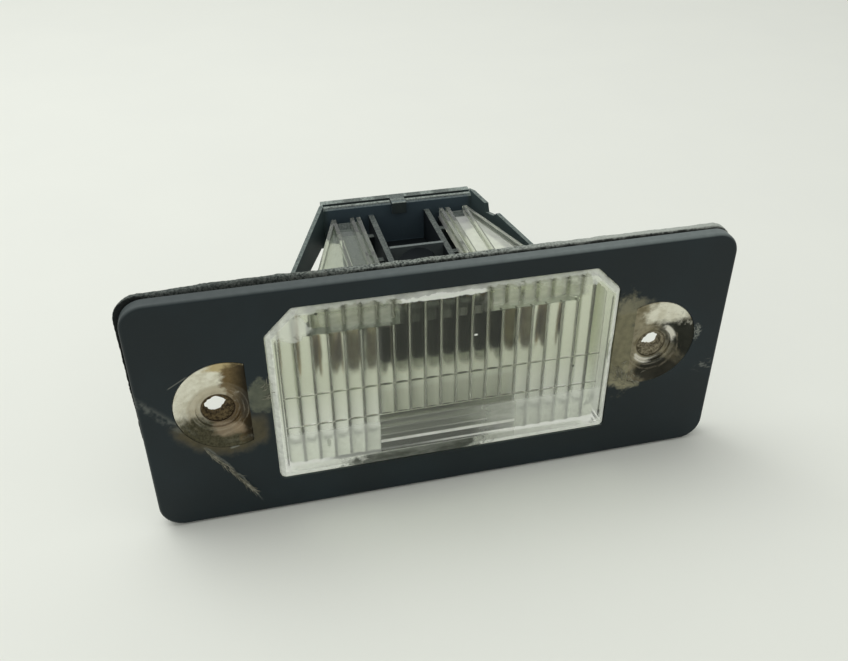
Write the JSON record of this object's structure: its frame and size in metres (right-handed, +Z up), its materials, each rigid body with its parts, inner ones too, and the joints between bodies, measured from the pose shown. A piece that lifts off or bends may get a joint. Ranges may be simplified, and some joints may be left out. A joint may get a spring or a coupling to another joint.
{
  "type": "number plate lamp",
  "caption": "Car number plate lamp: black plate with a fluted clear window between screw dishes, foam gasket, and a clipped-in carrier that holds a festoon bulb.",
  "frame": {"origin": "midway between the two screw holes, in the plane of the rear faces of the screw bosses, which is the car's panel", "axes": "+X along the plate, +Y from the lamp's face towards the car and along the screws, +Z up on the plate"},
  "size_m": [0.0869, 0.0358, 0.038],
  "materials": {
    "black_plastic": "satin, dusty",
    "clear_plastic": "clear, aged, stained round the screws",
    "foam": "open foam, dusty",
    "carrier_plastic": "satin",
    "cover_plastic": "matt",
    "contact_metal": "tarnished",
    "bulb_glass": "clear",
    "cap_metal": "nickel plated, tarnished",
    "lead_wire": "bare wire",
    "tungsten": "coiled wire"
  },
  "bodies": {
    "root": {"bezel": "black_plastic", "lens": "clear_plastic", "gasket": "foam", "bulb_carrier": "carrier_plastic", "rear_cover": "cover_plastic", "contact_right": "contact_metal", "contact_left": "contact_metal", "bulb_glass": "bulb_glass", "bulb_cap_right": "cap_metal", "bulb_cap_left": "cap_metal", "bulb_lead_right": "lead_wire", "bulb_lead_left": "lead_wire", "bulb_filament": "tungsten"}
  },
  "joints": []
}
